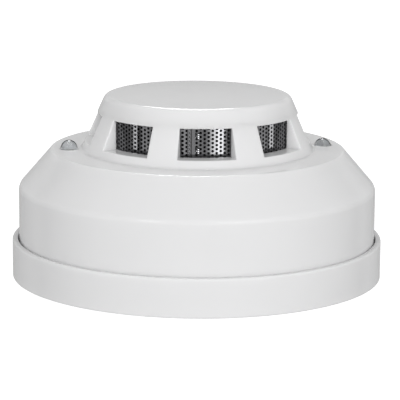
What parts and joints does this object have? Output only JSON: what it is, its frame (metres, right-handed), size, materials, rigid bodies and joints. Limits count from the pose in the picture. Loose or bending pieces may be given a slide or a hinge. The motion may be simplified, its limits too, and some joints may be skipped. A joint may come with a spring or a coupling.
{
  "type": "heat detector",
  "caption": "Round ceiling heat detector with a tapered cap, screened air windows and clear indicator lamps, plugged into a bayonet mounting base.",
  "frame": {"origin": "centre of the base's ceiling face", "axes": "+Z from the ceiling face towards the tip of the cap, +X directly away from the left indicator lamp, an air window facing -Y"},
  "size_m": [0.11, 0.11, 0.0548],
  "materials": {
    "cover_white": "glossy moulded ABS",
    "base_white": "glossy moulded ABS",
    "housing_white": "satin moulded ABS",
    "screen_steel": "bright perforated stainless sheet",
    "led_clear": "clear cast epoxy",
    "black_plastic": "matt black moulding",
    "sleeve_white": "matt nylon",
    "brass": "rolled brass",
    "plated_steel": "bright zinc plate",
    "board_green": "glass-fibre board with green solder mask",
    "package_black": "moulded epoxy package with tinned legs",
    "capacitor_sleeve": "shrink sleeve over an aluminium can",
    "capacitor_tan": "dipped coating",
    "resistor_tan": "lacquered body with colour bands",
    "suppressor_blue": "dipped coating",
    "reed_glass": "green glass tube",
    "thermistor_bead": "dipped epoxy bead"
  },
  "bodies": {
    "base": {"mounting_base": "base_white", "threaded_inserts": "brass", "contact_spring_1": "brass", "contact_spring_2": "brass", "contact_spring_3": "brass", "contact_spring_4": "brass"},
    "head": {"outer_cover": "cover_white", "rear_housing": "housing_white", "cover_screws": "plated_steel", "contact_blade_1": "brass", "contact_blade_2": "brass", "contact_blade_3": "brass", "contact_blade_4": "brass", "insect_screen": "screen_steel", "screen_carrier": "black_plastic", "baffle_ring": "black_plastic", "thermistor_sleeve": "sleeve_white", "sensing_thermistor": "thermistor_bead", "indicator_led_left": "led_clear", "indicator_led_right": "led_clear", "led_spacer_left": "black_plastic", "led_spacer_right": "black_plastic", "circuit_board": "board_green", "board_screws": "plated_steel", "microcontroller": "package_black", "bridge_rectifier": "package_black", "electrolytic_capacitor_1": "capacitor_sleeve", "electrolytic_capacitor_2": "capacitor_sleeve", "ceramic_capacitors": "capacitor_tan", "resistors": "resistor_tan", "driver_transistors": "package_black", "voltage_regulator": "package_black", "surge_suppressor": "suppressor_blue", "reed_switch": "reed_glass", "reference_thermistor": "thermistor_bead"},
    "clamp_1": {"clamp_plate_1": "plated_steel"},
    "screw_1": {"terminal_screw_1": "plated_steel"},
    "clamp_2": {"clamp_plate_2": "plated_steel"},
    "screw_2": {"terminal_screw_2": "plated_steel"},
    "clamp_3": {"clamp_plate_3": "plated_steel"},
    "screw_3": {"terminal_screw_3": "plated_steel"},
    "clamp_4": {"clamp_plate_4": "plated_steel"},
    "screw_4": {"terminal_screw_4": "plated_steel"}
  },
  "joints": [
    {"name": "head_twist", "type": "hinge", "parent": "base", "child": "head", "pos_m": [0, 0, 0.0075], "axis": [0, 0, 1], "range_deg": [0, 20]},
    {"name": "clamp_plate_1_lift", "type": "slide", "parent": "base", "child": "clamp_1", "axis": [0, 0, 1], "range_m": [0, 0.002]},
    {"name": "terminal_screw_1_turn", "type": "hinge", "parent": "clamp_1", "child": "screw_1", "pos_m": [0.03215, 0.01107, 0.0053], "axis": [0, 0, 1], "range_deg": [0, 1440]},
    {"name": "clamp_plate_2_lift", "type": "slide", "parent": "base", "child": "clamp_2", "axis": [0, 0, 1], "range_m": [0, 0.002]},
    {"name": "terminal_screw_2_turn", "type": "hinge", "parent": "clamp_2", "child": "screw_2", "pos_m": [-0.01107, 0.03215, 0.0053], "axis": [0, 0, 1], "range_deg": [0, 1440]},
    {"name": "clamp_plate_3_lift", "type": "slide", "parent": "base", "child": "clamp_3", "axis": [0, 0, 1], "range_m": [0, 0.002]},
    {"name": "terminal_screw_3_turn", "type": "hinge", "parent": "clamp_3", "child": "screw_3", "pos_m": [-0.03215, -0.01107, 0.0053], "axis": [0, 0, 1], "range_deg": [0, 1440]},
    {"name": "clamp_plate_4_lift", "type": "slide", "parent": "base", "child": "clamp_4", "axis": [0, 0, 1], "range_m": [0, 0.002]},
    {"name": "terminal_screw_4_turn", "type": "hinge", "parent": "clamp_4", "child": "screw_4", "pos_m": [0.01107, -0.03215, 0.0053], "axis": [0, 0, 1], "range_deg": [0, 1440]}
  ],
  "couplings": [
    {"joint": "terminal_screw_1_turn", "follows": "clamp_plate_1_lift", "rad_per_m": 12566},
    {"joint": "terminal_screw_2_turn", "follows": "clamp_plate_2_lift", "rad_per_m": 12566},
    {"joint": "terminal_screw_3_turn", "follows": "clamp_plate_3_lift", "rad_per_m": 12566},
    {"joint": "terminal_screw_4_turn", "follows": "clamp_plate_4_lift", "rad_per_m": 12566}
  ]
}
